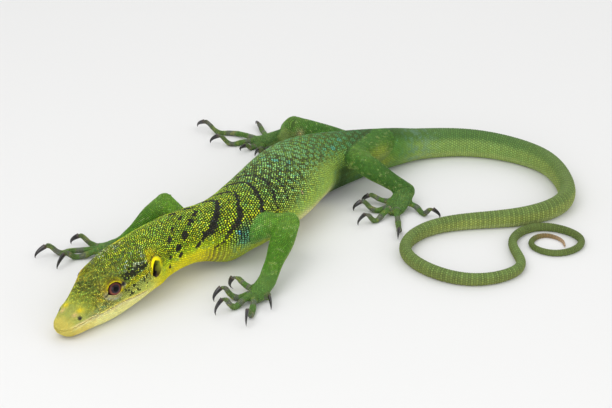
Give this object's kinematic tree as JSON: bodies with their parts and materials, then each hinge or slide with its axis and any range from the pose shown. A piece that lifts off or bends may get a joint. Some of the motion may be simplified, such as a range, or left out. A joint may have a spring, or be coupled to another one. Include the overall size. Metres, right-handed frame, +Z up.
{
  "type": "emerald tree monitor",
  "caption": "Green tree monitor lizard at life size, lying flat on all fours with its long tail swept round and coiled at the tip.",
  "frame": {"origin": "middle of the bounding box's base, on the floor the animal lies on", "axes": "+Z up; the snout points to -X and -Y and the tail's great bend lies towards +X; +Y is the side of the far hind foot"},
  "size_m": [0.2682, 0.2386, 0.0335],
  "materials": {
    "body_skin": "fine scaly skin, satin",
    "tail_skin": "fine scaly skin in rings, satin",
    "throat_skin": "fine scaly skin, satin",
    "claws": "smooth horn, satin",
    "eyes": "wet and glossy"
  },
  "bodies": {
    "root": {"belly": "body_skin", "chest": "body_skin", "claw_foot_left_1": "claws", "claw_foot_left_2": "claws", "claw_foot_left_3": "claws", "claw_foot_left_4": "claws", "claw_foot_left_5": "claws", "claw_foot_right_1": "claws", "claw_foot_right_2": "claws", "claw_foot_right_3": "claws", "claw_foot_right_4": "claws", "claw_foot_right_5": "claws", "claw_hand_left_1": "claws", "claw_hand_left_2": "claws", "claw_hand_left_3": "claws", "claw_hand_left_4": "claws", "claw_hand_left_5": "claws", "claw_hand_right_1": "claws", "claw_hand_right_2": "claws", "claw_hand_right_3": "claws", "claw_hand_right_4": "claws", "claw_hand_right_5": "claws", "eye_left": "eyes", "eye_right": "eyes", "foot_left": "body_skin", "foot_right": "body_skin", "forearm_left": "body_skin", "forearm_right": "body_skin", "hand_left": "body_skin", "hand_right": "body_skin", "head": "body_skin", "lower_jaw": "throat_skin", "neck": "body_skin", "pelvis": "body_skin", "shin_left": "body_skin", "shin_right": "body_skin", "tail_01": "tail_skin", "tail_02": "tail_skin", "tail_03": "tail_skin", "tail_04": "tail_skin", "tail_05": "tail_skin", "tail_06": "tail_skin", "tail_07": "tail_skin", "tail_08": "tail_skin", "tail_09": "tail_skin", "tail_10": "tail_skin", "tail_11": "tail_skin", "tail_12": "tail_skin", "tail_13": "tail_skin", "tail_14": "tail_skin", "thigh_left": "body_skin", "thigh_right": "body_skin", "upper_arm_left": "body_skin", "upper_arm_right": "body_skin"}
  },
  "joints": []
}
